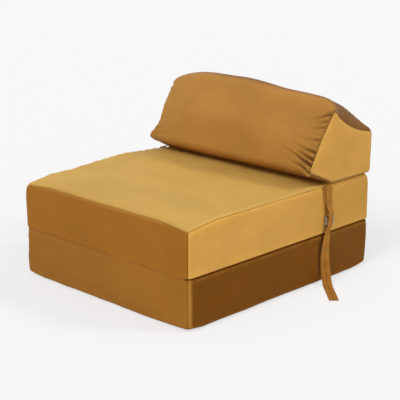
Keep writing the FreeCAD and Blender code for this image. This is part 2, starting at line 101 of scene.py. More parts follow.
class Finish:
    """A material, or the world of the scene, whose nodes are written as expressions."""

    def __init__(self, name, world=None):
        self.material = bpy.data.materials.new(name) if world is None else world
        self.material.use_nodes = True
        self.nodes = self.material.node_tree.nodes
        self.links = self.material.node_tree.links
        self.nodes.clear()
        kind = "ShaderNodeOutputMaterial" if world is None else "ShaderNodeOutputWorld"
        self.output = self.nodes.new(kind)

    def add(self, kind, settings, values, output=0):
        """One node of a kind: its settings first, then the values or links of its sockets."""
        node = self.nodes.new(kind)
        for name, value in settings.items():
            setattr(node, name, value)
        for place, value in values.items():
            if isinstance(value, Wire):
                self.links.new(value.socket, node.inputs[place])
            else:
                node.inputs[place].default_value = value
        return Wire(self, node.outputs[output])

    def place(self):
        """Where a point lies on its own piece, which doesn't change as the piece moves."""
        return self.add("ShaderNodeTexCoord", {}, {}, "Object")

    def noise(self, where, scale, detail=2.0, roughness=0.5):
        values = {"Vector": where, "Scale": scale, "Detail": detail, "Roughness": roughness}
        return self.add("ShaderNodeTexNoise", {}, values, "Fac")

    def stretched(self, where, shares):
        return self.add("ShaderNodeVectorMath", {"operation": "MULTIPLY"}, {0: where, 1: shares})

    def part_of(self, where, axis):
        return self.add("ShaderNodeSeparateXYZ", {}, {0: where}, axis)

    def mix(self, share, first, second):
        """A blend of two colours, which a Mix node holds at its sockets 6 and 7."""
        return self.add("ShaderNodeMix", {"data_type": "RGBA"}, {0: share, 6: first, 7: second}, 2)

    def bump(self, height, depth):
        return self.add("ShaderNodeBump", {}, {"Strength": 1.0, "Distance": depth, "Height": height})

    def ray(self, kind):
        """1 for rays of a kind, such as those from the camera, and 0 for others."""
        return self.add("ShaderNodeLightPath", {}, {}, kind)

    def end_with(self, shader):
        self.links.new(shader.socket, self.output.inputs["Surface"])
        return self.material

    def surface(self, values):
        """The finished material, from values by the name of the shader's socket."""
        return self.end_with(self.add("ShaderNodeBsdfPrincipled", {}, values, "BSDF"))


# How dark the painted shade is at the bottom of a fold, how pale the painted highlight is where a fold
# catches the light, and how much paler than its colour its gloss and its sheen are.
FOLD_SHADE, RAISED_HIGHLIGHT = 0.36, 1.45
GLOSS_TINT, SHEEN_TINT = 2.2, 1.5
PILE_HEIGHT = 0.0006
PLAIN_NAP = (1.0, 1.0, 1.0)


def velvet(name, colour, dark=0.88, bright=1.1, nap=PLAIN_NAP, turn=None, sheen=0.15, rough=0.62, gloss=0.3):
    """Short-pile velvet: brushed patches, a fine mottle, single fibres and a soft sheen.

    The patches are longer along an axis where nap is less than 1. Where turn is given as (axis, start,
    end, colour), the cloth takes that colour beyond that place: a lighter or darker copy that paints in the
    light and shade on that part of the face. Folds and seams get painted shade, and raised cloth a painted
    highlight.
    """
    finish = Finish(name)
    where = finish.place()
    brushed = finish.noise(finish.stretched(where, nap), scale=7.0, detail=3.0, roughness=0.55)
    brushed = brushed.within(0.33, 0.68)
    mottle = finish.noise(where, scale=90.0, detail=3.0, roughness=0.6).within(0.3, 0.7)
    fibres = finish.noise(where, scale=1500.0, detail=2.0, roughness=0.6)
    tone = brushed * 0.6 + mottle * 0.25 + fibres * 0.15
    pile = fibres * 0.6 + mottle * 0.4
    shade = finish.mix(tone, toned(colour, dark), toned(colour, bright))
    # Beyond the turn, a lighter or darker copy of the colour paints in light and shade.
    if turn is not None:
        axis, start, end, beyond = turn
        past = finish.part_of(where, axis).within(start, end)
        painted_light_tone = finish.mix(tone, toned(beyond, dark), toned(beyond, bright))
        shade = finish.mix(past, shade, painted_light_tone)
    # Painted shade in folds and seams, and a painted highlight on raised cloth, from a value on each point.
    painted_light = finish.add("ShaderNodeAttribute", {"attribute_name": "painted_light"}, {}, "Fac")
    shade = finish.mix(painted_light.within(0.0, 1.0), shade, toned(colour, FOLD_SHADE))
    shade = finish.mix(painted_light.within(0.0, -1.0), shade, toned(colour, RAISED_HIGHLIGHT))
    return finish.surface({
        "Base Color": shade,
        "Roughness": rough + mottle * 0.12,
        "Specular IOR Level": gloss,
        "Specular Tint": toned(colour, GLOSS_TINT),
        "Sheen Weight": sheen,
        "Sheen Roughness": 0.45,
        "Sheen Tint": toned(colour, SHEEN_TINT),
        "Normal": finish.bump(pile, PILE_HEIGHT),
    })


def piece(name, points, faces, finishes, kinds=None, body=None, smooth=True, painted_light=None):
    """A mesh object with its finishes, on its body.

    The kinds say which finish each face has. Each point also gets a value for its painted light: 1 for the
    darkest painted shade, deep in a fold or seam, and less than 0 for a painted highlight where the cloth is
    raised.
    """
    mesh = bpy.data.meshes.new(name)
    mesh.from_pydata([tuple(point) for point in points], [], [tuple(face) for face in faces])
    for finish in finishes:
        mesh.materials.append(finish)
    if kinds is not None:
        mesh.polygons.foreach_set("material_index", np.asarray(kinds, dtype=np.int32))
    mesh.polygons.foreach_set("use_smooth", [smooth] * len(mesh.polygons))
    mesh.update()
    thing = bpy.data.objects.new(name, mesh)
    bpy.context.scene.collection.objects.link(thing)
    if body is not None:
        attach(thing, body)
    if painted_light is not None:
        depths = mesh.attributes.new("painted_light", "FLOAT", "POINT")
        depths.data.foreach_set("value", np.asarray(painted_light, dtype=np.float32))
    return thing


def ripple(points, wavelength, seed, waves=7):
    """A smooth, repeatable unevenness between about -1 and 1 over points in space."""
    draw = np.random.RandomState(seed)
    total = np.zeros(len(points))
    for _ in range(waves):
        way = draw.normal(size=3)
        way /= np.linalg.norm(way)
        length = wavelength * draw.uniform(0.7, 1.5)
        total += np.sin(points @ way * (2 * math.pi / length) + draw.uniform(0, 2 * math.pi))
    return total / math.sqrt(waves)


def uneven(points, kind, seed):
    """Unevenness of a kind, which is given as its wavelength and its height."""
    wavelength, height = kind
    return ripple(points, wavelength, seed) * height


def wave(place, length):
    """A plain wave of a length, from the place along it."""
    return math.sin(place * 2 * math.pi / length)


def fade(distance, reach):
    """1 at no distance and next to nothing at twice the reach."""
    return np.exp(-((distance / reach) ** 2))


def blurred(value, low, high):
    """0 up to low, 1 from high and smooth between them."""
    share = np.clip((value - low) / (high - low), 0, 1)
    return share * share * (3 - 2 * share)


# A seam: the depth and width of its groove, and the swell of the cloth beside it.
GROOVE_DEPTH, GROOVE_WIDTH = 0.0021, 0.0019
BESIDE_RISE, BESIDE_PLACE, BESIDE_WIDTH = 0.0008, 0.009, 0.006


def sewn(distance):
    """How far cloth stands in or out near a seam: a sharp groove with a soft swell beside it."""
    swell = BESIDE_RISE * fade(distance - BESIDE_PLACE, BESIDE_WIDTH)
    return -GROOVE_DEPTH * fade(distance, GROOVE_WIDTH) + swell


# Distances of the grid's lines from a sewn edge, and the width of its cells away from the edges.
EDGE_STEPS = (0, 0.0008, 0.0017, 0.0028, 0.0043, 0.0062, 0.0088, 0.012, 0.0155, 0.0195, 0.025, 0.032)
CELL = 0.0075
# Heights of the grid's lines near a zip, from its middle, and the slot in the cover that shows it.
ZIP_LINES = np.array([
    -0.0075, -0.0058, -0.0052, -0.0046, -0.0025, 0, 0.0025, 0.0046, 0.0052, 0.0058, 0.0075,
])
LINE_ROOM = 0.0015
SLOT_DEPTH = 0.0032
BLOCK_SLOT_REACH, BLOCK_SLOT_RISE = 0.3105, 0.0053


def side_places(low, high):
    """Places along one side of a block: close together near its ends, evenly apart between them."""
    inner_low = low + EDGE_STEPS[-1]
    inner_high = high - EDGE_STEPS[-1]
    count = max(2, round((inner_high - inner_low) / CELL))
    middle = np.linspace(inner_low, inner_high, count + 1)[1:-1]
    ends = np.array(EDGE_STEPS)
    return np.concatenate([low + ends, middle, high - ends[::-1]])


def block_grid(low, high, levels):
    """The faces of a box as one welded grid: its points, its quads and the side that each quad is on."""
    places = [side_places(low[axis], high[axis]) for axis in range(3)]
    clear = np.abs(places[2][:, None] - levels[None]).min(axis=1) > LINE_ROOM
    places[2] = np.sort(np.concatenate([places[2][clear], levels]))
    points, quads, sides = [], [], []
    start = 0
    for axis in range(3):
        across, up = (axis + 1) % 3, (axis + 2) % 3
        for end, value in ((0, low[axis]), (1, high[axis])):
            grid_a, grid_b = np.meshgrid(places[across], places[up], indexing="ij")
            block = np.empty(grid_a.shape + (3,))
            block[..., axis] = value
            block[..., across] = grid_a
            block[..., up] = grid_b
            rows, columns = grid_a.shape
            number = start + np.arange(rows * columns).reshape(rows, columns)
            corners = [number[:-1, :-1], number[1:, :-1], number[1:, 1:], number[:-1, 1:]]
            if end == 0:
                corners.reverse()
            quads.append(np.stack([corner.ravel() for corner in corners], axis=1))
            sides.append(np.full(len(quads[-1]), 2 * axis + end))
            points.append(block.reshape(-1, 3))
            start += rows * columns
    points = np.concatenate(points)
    keys = np.round(points * 1e6).astype(np.int64)
    _, first, back = np.unique(keys, axis=0, return_index=True, return_inverse=True)
    return points[first], back.ravel()[np.concatenate(quads)], np.concatenate(sides)


def rounded(points, low, high, reach_low, reach_high):
    """The grid points moved on to a rounded box, and the outward direction of each."""
    inner = np.clip(points, low + reach_low, high - reach_high)
    reach = np.where(points > (low + high) / 2, reach_high, reach_low)
    way = (points - inner) / reach
    way /= np.linalg.norm(way, axis=1)[:, None]
    return inner + way * reach, way


def rim_distance(points, low, high):
    """How far each grid point lies from the nearest edge of its face."""
    gaps = np.minimum(points - low, high - points)
    gaps = np.sort(gaps, axis=1)
    return gaps[:, 1]


# How far a block's front may stand past its plain box.
FRONT_SPARE = 0.0008
# The unevenness of a block's cover, as wavelength and height: slack cloth, small waves, puckers, and how the
# strength of the painted seam shade and highlight wanders.
BLOCK_SLACK, BLOCK_WAVES, PUCKERS, SEAM_LIGHT_WAVES = (0.17, 0.0010), (0.06, 0.00035), (0.024, 0.0011), (0.05, 0.25)
# The puckers lie this far from a seam. Little of them is left at the bottom, up to this height.
PUCKER_PLACE, BOTTOM_SHARE, BOTTOM_HEIGHT = 0.010, 0.15, 0.05
# At an upright edge, puckers lose this share up to this distance.
UPRIGHT_LOSS, UPRIGHT_REACH = 0.7, 0.03
# How dark the painted shade in a block's seams is, how pale the painted highlight beside them, and how far
# from them.
SEAM_SHADE, SEAM_HIGHLIGHT, SEAM_HIGHLIGHT_PLACE = 0.42, 0.14, 0.0075


def foam_block(name, low, high, radii, pull, crown, still, zip_level, finishes, body, seed):
    """One block of the bed: a crowned cushion whose sewn edges are a little wavy.

    The radii round its upright, top and bottom edges. The pull of the cover draws its corners, top rim
    and bottom rim in. Crown and still are functions of the points and their outward directions: how far
    each one rises, and 1 where the cover lies flat against a neighbour. The finishes are those of its
    left, right, front, rear, lower and upper side.
    """
    low, high = np.array(low), np.array(high)
    grid, quads, sides = block_grid(low, high, zip_level + ZIP_LINES)
    reach_low = np.array([radii["upright"], radii["upright"], radii["bottom"]])
    reach_high = np.array([radii["upright"], radii["upright"], radii["top"]])
    skin, way = rounded(grid, low, high, reach_low, reach_high)
    middle = (low + high) / 2
    share = (skin - middle) / ((high - low) / 2)
    away = np.abs(share)
    lean = np.where(share[:, 2] > 0, pull["top"], pull["bottom"]) * away[:, 2] ** 2.6
    for axis, other in ((0, 1), (1, 0)):
        drawn = pull["corners"] * away[:, other] ** 4 + lean
        skin[:, axis] -= np.sign(share[:, axis]) * away[:, axis] ** 3 * drawn
    skin[:, 2] += crown(skin, way)

    edge = rim_distance(grid, low, high)
    loose = uneven(grid, BLOCK_SLACK, seed) + uneven(grid, BLOCK_WAVES, seed + 1)
    loose *= 1 - fade(edge, 0.004)
    puckers = uneven(grid, PUCKERS, seed + 2) * fade(edge - PUCKER_PLACE, PUCKER_PLACE)
    puckers *= BOTTOM_SHARE + (1 - BOTTOM_SHARE) * blurred(grid[:, 2] - low[2], 0.0, BOTTOM_HEIGHT)
    beside = np.minimum(grid - low, high - grid)
    puckers *= 1 - UPRIGHT_LOSS * fade(beside[:, 0], UPRIGHT_REACH) * fade(beside[:, 1], UPRIGHT_REACH)
    skin += way * ((loose + puckers + sewn(edge)) * (1 - still(skin, way)))[:, None]

    in_slot = np.abs(grid[:, 2] - zip_level) < BLOCK_SLOT_RISE
    in_slot &= np.abs(grid[:, 0]) < BLOCK_SLOT_REACH
    in_slot &= grid[:, 1] > high[1] - 1e-6
    skin[in_slot, 1] = high[1] - SLOT_DEPTH
    skin[:, 1] = np.maximum(skin[:, 1], low[1] - FRONT_SPARE)
    skin[:, 2] = np.maximum(skin[:, 2], low[2])
    # Painted shade in the seam grooves and a painted highlight on the swell beside them, stronger and weaker
    # in turns.
    painted_light = SEAM_SHADE * fade(edge, 0.0017) - SEAM_HIGHLIGHT * fade(edge - SEAM_HIGHLIGHT_PLACE, 0.0045)
    painted_light *= 0.75 + uneven(grid, SEAM_LIGHT_WAVES, seed + 3)
    return piece(name, skin, quads, finishes, sides, body, painted_light=painted_light)


# Half the pillow's length, its lowest level, and the place and level of its zip.
RIM = 0.3500
PILLOW_FLOOR = 0.3012
ZIP_REAR = 0.3970
ZIP_LEVEL = 0.3270
PILLOW_SLOT_REACH, PILLOW_SLOT_RISE = 0.3005, 0.0051
# The corners of the pillow's outline, from its heel round its back, ridge, belly and nose to its foot:
# y, z and the radius that rounds it.
PILLOW_MIDDLE = (
    (0.397, PILLOW_FLOOR, 0.010), (0.398, 0.456, 0.040), (0.224, 0.586, 0.052),
    (0.138, 0.459, 0.090), (0.115, 0.340, 0.026), (0.196, PILLOW_FLOOR, 0.012),
)
PILLOW_RIGHT = (
    (0.397, PILLOW_FLOOR, 0.010), (0.400, 0.432, 0.032), (0.208, 0.522, 0.012),
    (0.152, 0.449, 0.060), (0.096, 0.352, 0.010), (0.207, PILLOW_FLOOR, 0.010),
)
PILLOW_LEFT = (
    (0.397, PILLOW_FLOOR, 0.010), (0.400, 0.432, 0.032), (0.216, 0.526, 0.014),
    (0.166, 0.449, 0.060), (0.117, 0.344, 0.014), (0.200, PILLOW_FLOOR, 0.010),
)
# Place along the pillow from -1 at its left end to 1 at its right end, and how full it is there.
SWELL = (
    (-1, 0), (-0.985, 0.16), (-0.95, 0.32), (-0.88, 0.50), (-0.75, 0.75), (-0.6, 0.97), (-0.4, 1.10),
    (-0.1, 1.09), (0.15, 0.98), (0.4, 0.85), (0.69, 0.72), (0.86, 0.60), (0.94, 0.44), (0.98, 0.22), (1, 0),
)
# How many points lie on each corner's arc and on the run before the next corner.
ARC_COUNTS = (6, 10, 20, 22, 16, 6)
RUN_COUNTS = (0, 40, 34, 46, 16, 24)
# The run up the rear has its points at these levels, for the zip, and some more above them.
REAR_LEVELS = (
    0.3145, 0.3185, 0.3208, 0.3218, 0.3224, 0.3236, 0.3270, 0.3304, 0.3316, 0.3322, 0.3332, 0.3355, 0.3400,
)
REAR_SPARE = 8
# The tucks by the end seams: height at the seam, depth, length, and how steeply each one rises inwards.
TUCKS = (
    (0.338, 0.0036, 0.030, 0.10), (0.353, 0.0092, 0.046, 0.24), (0.371, 0.0105, 0.062, 0.30),
    (0.387, 0.0086, 0.044, 0.24), (0.406, 0.0062, 0.048, 0.20), (0.422, 0.0026, 0.022, 0.10),
    (0.440, 0.0036, 0.030, 0.04), (0.456, 0.0022, 0.020, -0.06), (0.476, 0.0038, 0.032, -0.12),
    (0.493, 0.0040, 0.026, -0.20), (0.511, 0.0070, 0.030, -0.30),
)
# A tuck's width, how strong its groove and its two ridges are, and the ridges' place and width in tucks.
TUCK_WIDTH = 0.0044
GROOVE_SHARE, RIDGE_SHARE, RIDGE_PLACE, RIDGE_WIDTH = 1.15, 0.7, 1.8, 0.9
# How strong a tuck is at the slack left end, below and above this height.
LEFT_TUCKS = {"low": 0.15, "high": 0.5, "turn": 0.50}
# The pillow's slack cloth and small waves, as wavelength and height, and the unevenness of its ends.
PILLOW_SLACK, PILLOW_WAVES, END_WAVES = (0.20, 0.0015), (0.075, 0.0006), (0.09, 0.0009)
END_PUCKER_LENGTH, END_PUCKER_HEIGHT = 0.021, 0.0005
# How far the cloth swells beside the sagging seams, the lip under the end panels and the ear at the nose.
PLUMP, LIP, EAR = 0.0085, 0.005, 0.006
# The gathering that makes a fold's painted shade as dark as it gets, and how pale the painted highlight on
# the lit left edge is.
SHADE_GATHER, LEFT_HIGHLIGHT = 0.0044, 0.85
# The slack left end sinks in this far, beyond this place and over this length.
LEFT_SINK, LEFT_START, LEFT_LENGTH = 0.031, 0.18, 0.17
# How far the seams of the end panels sag at the top, right and left, and how far the end panels bulge.
SAG_RIGHT, SAG_LEFT = 0.017, 0.010
END_BULGE = 0.0055
END_SHARES = (0.985, 0.965, 0.94, 0.90, 0.84, 0.76, 0.66, 0.54, 0.40, 0.25, 0.10)
# The places of the pillow's finishes in its list.
WRAP_PANEL, END_PANEL, BASE_PANEL = 0, 1, 2


def outline(corners):
    """The pillow's outline through its six corners, the same number of points whatever their places."""
    spots = [np.array(corner[:2]) for corner in corners]
    arcs = []
    for index, (_, _, radius) in enumerate(corners):
        here = spots[index]
        towards = spots[index - 1] - here
        away = spots[(index + 1) % len(spots)] - here
        towards /= np.linalg.norm(towards)
        away /= np.linalg.norm(away)
        half = math.acos(np.clip(towards @ away, -1, 1)) / 2
        reach = radius / math.tan(half)
        centre = here + (towards + away) / np.linalg.norm(towards + away) * radius / math.sin(half)
        first = here + towards * reach - centre
        last = here + away * reach - centre
        start = math.atan2(first[1], first[0])
        sweep = (math.atan2(last[1], last[0]) - start) % (2 * math.pi)
        turns = start + sweep * np.linspace(0, 1, ARC_COUNTS[index] + 1)
        arcs.append(centre + radius * np.stack([np.cos(turns), np.sin(turns)], axis=1))
    ring = []
    for index, arc in enumerate(arcs):
        ring.append(arc)
        start, end = arc[-1], arcs[(index + 1) % len(arcs)][0]
        if index == 0:
            above = np.linspace(REAR_LEVELS[-1], end[1], REAR_SPARE + 2)[1:-1]
            levels = np.concatenate([REAR_LEVELS, above])
            rear = np.interp(levels, [start[1], end[1]], [start[0], end[0]])
            ring.append(np.stack([rear, levels], axis=1))
        else:
            share = np.linspace(0, 1, RUN_COUNTS[index] + 2)[1:-1, None]
            ring.append(start + (end - start) * share)
    return np.concatenate(ring)


def between(first, second, share):
    return tuple(tuple(a + (b - a) * share for a, b in zip(one, two)) for one, two in zip(first, second))


def drawn_in(skin):
    """The x places of the pillow's points: above its nose, the slack left end sinks in a little."""
    near_left = np.clip((-skin[..., 0] - LEFT_START) / LEFT_LENGTH, 0, 1.2) ** 2
    hollow = 0.35 + 0.65 * blurred(skin[..., 2], 0.350, 0.405)
    return skin[..., 0] + LEFT_SINK * near_left * hollow * (1 - blurred(skin[..., 1], 0.30, 0.385))


def pillow_rings():
    """The pillow's plain cover: a ring of points at each place along it, and the length round each ring."""
    along = side_places(-RIM, RIM)
    table = np.array(SWELL)
    swell = np.interp(along / RIM, table[:, 0], table[:, 1])
    soft = np.convolve(np.pad(swell, 3, mode="edge"), np.ones(7) / 7, mode="valid")
    near = np.clip((RIM - np.abs(along)) / 0.03, 0, 1)
    swell = swell * (1 - near) + soft * near
    rings, lengths = [], []
    for x, full in zip(along, swell):
        end = PILLOW_RIGHT if x > 0 else PILLOW_LEFT
        ring = outline(between(end, PILLOW_MIDDLE, full))
        rings.append(np.column_stack([np.full(len(ring), x), ring]))
        step = np.linalg.norm(np.roll(ring, -1, axis=0) - ring, axis=1)
        lengths.append(np.concatenate([[0], np.cumsum(step)[:-1]]))
    return np.array(rings), np.array(lengths)


def pillow_cover(skin):
    """The rings with tucks, sagging seams, slack cloth and the zip's slot, and the painted shade and
    highlight of each point.
    """
    tangent = np.roll(skin, -1, axis=1) - np.roll(skin, 1, axis=1)
    tangent /= np.linalg.norm(tangent, axis=2)[..., None]
    size = skin.shape[:2]
    way = np.stack([np.zeros(size), tangent[..., 2], -tangent[..., 1]], axis=2)
    right = skin[..., 0] > 0
    from_seam = RIM - np.abs(skin[..., 0])
    depth, height = skin[..., 1], skin[..., 2]

    front = np.clip((way[..., 1] * -1 + 0.15) / 0.4, 0, 1)
    held = np.clip(from_seam / 0.003, 0, 1)
    gather = np.zeros(size)
    for level, fold, length, slope in TUCKS:
        left_share = LEFT_TUCKS["low"] if level < LEFT_TUCKS["turn"] else LEFT_TUCKS["high"]
        strength = np.where(right, 1.0, left_share)
        bend = slope * from_seam + 0.0012 * np.sin(from_seam * 95 + level * 900)
        gap = np.abs(height - level - bend) / TUCK_WIDTH
        shape = RIDGE_SHARE * fade(gap - RIDGE_PLACE, RIDGE_WIDTH) - GROOVE_SHARE * fade(gap, 1.0)
        gather += shape * fold * strength * np.exp(-((from_seam / length) ** 1.4)) * front * held

    top = np.clip((way[..., 2] - 0.55) / 0.3, 0, 1) * np.clip((depth - 0.215) / 0.02, 0, 1)
    middle_of_top = np.sin(math.pi * np.clip((depth - 0.212) / 0.186, 0, 1)) ** 0.8
    under = np.clip((-way[..., 2] - 0.2) / 0.3, 0, 1) * blurred(height, 0.303, 0.312)
    sag = np.where(right, SAG_RIGHT, SAG_LEFT) * fade(from_seam, 0.020) * top * middle_of_top
    sag += LIP * fade(from_seam, 0.008) * under
    gather -= sag
    near_end = blurred(from_seam, 0.004, 0.045) * (1 - blurred(from_seam, 0.05, 0.17))
    plump = PLUMP * top * middle_of_top * near_end * blurred(depth, 0.225, 0.30)

    every = skin.reshape(-1, 3)
    loose = (uneven(every, PILLOW_SLACK, 5) + uneven(every, PILLOW_WAVES, 6)).reshape(size)
    loose *= np.clip(from_seam / 0.05, 0, 1)
    rear_face = np.clip((depth - 0.385) / 0.01, 0, 1) * (height < 0.35)
    in_slot = (np.abs(height - ZIP_LEVEL) < PILLOW_SLOT_RISE) & (np.abs(skin[..., 0]) < PILLOW_SLOT_REACH)
    zip_slot = -SLOT_DEPTH * (in_slot & (depth > 0.39))
    lying = np.clip((way[..., 2] * -1 - 0.75) / 0.2, 0, 1)
    move = (gather + plump + loose * (1 - rear_face)) * (1 - lying) + sewn(from_seam) * 1.8 + zip_slot
    skin = skin + way * move[..., None]

    # Painted shade in the tucks' grooves and in the end seams, and painted highlights on the tucks' ridges
    # and the lit left edge.
    painted_light = np.clip(-gather / SHADE_GATHER, -1.0, 1.0) * held * (1 - top * 0.8)
    lit_edge = fade(from_seam - 0.014, 0.011) * blurred(height, 0.375, 0.41) * front
    painted_light -= np.where(right, 0.0, LEFT_HIGHLIGHT) * lit_edge
    painted_light = np.maximum(painted_light, 0.8 * fade(from_seam, 0.0022))
    ear = fade(from_seam, 0.022) * fade(height - 0.352, 0.022) * fade(depth - 0.10, 0.035)
    skin[..., 1] -= EAR * ear
    skin[..., 0] += np.sign(skin[..., 0]) * (EAR / 2) * ear
    skin[..., 0] = drawn_in(skin)
    skin[..., 2] = np.maximum(skin[..., 2], PILLOW_FLOOR)
    return skin, painted_light


def pillow_end(end, rim, run, outer, points, quads, kinds, painted_light):
    """One end panel, in rings that shrink from the seam to a middle point: 1 is right and -1 is left."""
    size = len(rim)
    centre = np.array([0, rim[:, 1].mean(), rim[:, 2].mean()])
    spread = np.linalg.norm(rim[:, 1:] - centre[1:], axis=1)
    for share in END_SHARES:
        ring = centre + (rim - centre) * share
        gap = spread * (1 - share)
        bulge = END_BULGE * (1 - share ** 2.5) + sewn(gap) * 0.8
        bulge += uneven(ring, END_WAVES, 12 + end) * np.clip(gap / 0.02, 0, 1)
        puckers = np.sin(run * 2 * math.pi / END_PUCKER_LENGTH) * END_PUCKER_HEIGHT
        bulge += puckers * fade(gap - 0.008, 0.008)
        # Painted shade in the end panel's seam and a painted highlight on the swell beside it.
        painted_light.extend(0.55 * fade(gap, 0.0020) - 0.2 * fade(gap - 0.008, 0.005))
        ring[:, 0] = end * (RIM + bulge)
        ring[:, 0] = drawn_in(ring)
        ring[:, 2] = np.maximum(ring[:, 2], PILLOW_FLOOR)
        inner = np.arange(len(points), len(points) + size)
        points.extend(ring)
        for index in range(size):
            follow = (index + 1) % size
            quad = [outer[index], outer[follow], inner[follow], inner[index]]
            quads.append(quad if end > 0 else quad[::-1])
            kinds.append(END_PANEL)
        outer = inner
    hub = len(points)
    hub_point = np.array([[end * (RIM + END_BULGE), centre[1], centre[2]]])
    hub_point[0, 0] = drawn_in(hub_point)[0]
    points.append(hub_point[0])
    painted_light.append(0.0)
    for index in range(size):
        fan = [outer[index], outer[(index + 1) % size], hub]
        quads.append(fan if end > 0 else fan[::-1])
        kinds.append(END_PANEL)


def pillow_cushion(finishes):
    """The pillow: a full, crowned bolster with gathered seams round its two end panels."""
    skin, run = pillow_rings()
    skin, painted_light = pillow_cover(skin)
    painted_light = painted_light.ravel().tolist()
    count, size = run.shape
    number = np.arange(count * size).reshape(count, size)
    after = np.roll(number, -1, axis=1)
    corners = [number[:-1], after[:-1], after[1:], number[1:]]
    quads = np.stack([corner.ravel() for corner in corners], axis=1).tolist()
    middles = skin.reshape(-1, 3)[np.array(quads)].mean(axis=1)
    kinds = [BASE_PANEL if middle[2] < PILLOW_FLOOR + 0.004 else WRAP_PANEL for middle in middles]
    points = list(skin.reshape(-1, 3))
    for end, row in ((1, count - 1), (-1, 0)):
        pillow_end(end, skin[row], run[row], number[row], points, quads, kinds, painted_light)
    return piece("pillow_cushion", points, quads, finishes, kinds, "pillow", painted_light=painted_light)


def smooth_path(points, per_run):
    """A Catmull-Rom path through rows of numbers, which may hold places and directions together."""
    rows = np.array(points, dtype=float)
    padded = np.vstack([2 * rows[0] - rows[1], rows, 2 * rows[-1] - rows[-2]])
    steps = np.linspace(0, 1, per_run, endpoint=False)[:, None]
    path = []
    for index in range(len(rows) - 1):
        a, b, c, d = padded[index:index + 4]
        square = (2 * a - 5 * b + 4 * c - d) * steps ** 2
        cube = (3 * b - a - 3 * c + d) * steps ** 3
        path.append(0.5 * (2 * b + (c - a) * steps + square + cube))
    path.append(rows[-1][None])
    return np.vstack(path)


# Places across half a tape, from its crease to its edge, and how thick it is there.
TAPE_ACROSS = (
    (0.0, 0.30), (0.04, 0.50), (0.11, 1.05), (0.30, 1.30), (0.62, 1.20), (0.79, 1.0), (0.84, 0.62),
    (0.89, 0.98), (0.96, 0.72), (1.0, 0.0),
)
STITCH_PLACE = 0.84
# How dark the painted shade is in the tape's middle crease and in its stitch grooves.
TAPE_CREASE_SHADE, STITCH_SHADE = 0.42, 0.10


def tape(name, route, width, thickness, per_run, finish, side):
    """A folded and stitched fabric tape along rows of place, direction across and share of the width."""
    path = smooth_path(route, per_run)
    centre, across, widths = path[:, :3].copy(), path[:, 3:6].copy(), path[:, 6]
    forward = np.gradient(centre, axis=0)
    forward /= np.linalg.norm(forward, axis=1)[:, None]
    across -= forward * (across * forward).sum(axis=1)[:, None]
    across /= np.linalg.norm(across, axis=1)[:, None]
    outward = np.cross(across, forward)
    places = [(-u, h) for u, h in TAPE_ACROSS[::-1]] + list(TAPE_ACROSS[1:])
    loop = [(u, h) for u, h in places] + [(u, -h) for u, h in places[::-1][1:-1]]
    steps = np.linalg.norm(np.diff(centre, axis=0), axis=1)
    lengths = np.concatenate([[0], np.cumsum(steps)])
    points, painted_light = [], []
    for index, length in enumerate(lengths):
        # Darker and paler in turns along the tape.
        along_tone = 0.12 * wave(length, 0.047) + 0.1 * wave(length, 0.013)
        curl = 0.00025 * wave(length, 0.019) + 0.0002 * math.sin(length * 741)
        reach = width / 2 * widths[index] * (1 + 0.012 * wave(length, 0.031))
        for u, h in loop:
            lift = h * thickness / 2 + curl * u
            points.append(centre[index] + across[index] * u * reach + outward[index] * lift)
            # Painted shade in the middle crease and in the stitch grooves.
            stitch_groove_shade = STITCH_SHADE * fade(abs(u) - STITCH_PLACE, 0.05)
            painted_light.append(TAPE_CREASE_SHADE * fade(u, 0.10) + stitch_groove_shade + along_tone)
    size = len(loop)
    faces = []
    for index in range(len(centre) - 1):
        for turn in range(size):
            follow = (turn + 1) % size
            a, b = index * size, (index + 1) * size
            faces.append([a + turn, b + turn, b + follow, a + follow])
    faces.append(list(range(size)))
    faces.append([(len(centre) - 1) * size + turn for turn in range(size)][::-1])
    if side < 0:
        points = [point * np.array([-1, 1, 1]) for point in points]
        faces = [face[::-1] for face in faces]
    body = "left_strap" if side < 0 else "right_strap"
    return piece(name, points, faces, [finish], None, body, painted_light=painted_light)


# Where the strap set hangs, the level of the rings' straight bars, and the loop's bend round them.
STRAP_Y = 0.192
BAR_Z = 0.2045
BAR_X, BEND = 0.35615, 0.00505
BEND_TURNS = (215, 270, 325, 20, 70)
LOOP_WIDTH, LOOP_THICKNESS = 0.0285, 0.0015
LONG_WIDTH, LONG_THICKNESS = 0.0290, 0.0016
# How far the long tape turns towards the front between these heights.
TAIL_TURN = math.radians(43)
TURN_START, TURN_END = 0.150, 0.020
# The long tape's middle line from its root to its end on the floor, and how wide it is spread there.
LONG_ROUTE = (
    (0.3460, 0.1900, 0.2993, 1.0), (0.3512, 0.1900, 0.2988, 1.0), (0.3538, 0.1900, 0.2940, 1.0),
    (0.3540, 0.1905, 0.2780, 1.0), (0.3542, 0.1910, 0.2550, 0.96), (0.3566, 0.1910, 0.2360, 0.86),
    (0.3628, 0.1910, 0.2200, 0.74), (0.3644, 0.1905, 0.2060, 0.70), (0.3642, 0.1890, 0.1900, 0.70),
    (0.3622, 0.1865, 0.1740, 0.76), (0.3596, 0.1835, 0.1600, 0.86), (0.3590, 0.1800, 0.1440, 0.95),
    (0.3600, 0.1750, 0.1240, 1.0), (0.3616, 0.1705, 0.1000, 1.0), (0.3634, 0.1680, 0.0750, 1.0),
    (0.3656, 0.1680, 0.0490, 1.0), (0.3700, 0.1675, 0.0240, 1.0), (0.3780, 0.1620, 0.0085, 1.0),
    (0.3900, 0.1510, 0.0026, 1.0), (0.4100, 0.1330, 0.0014, 1.0), (0.4400, 0.1050, 0.0018, 1.0),
    (0.4600, 0.0865, 0.0014, 1.0), (0.4760, 0.0715, 0.0013, 1.0),
)


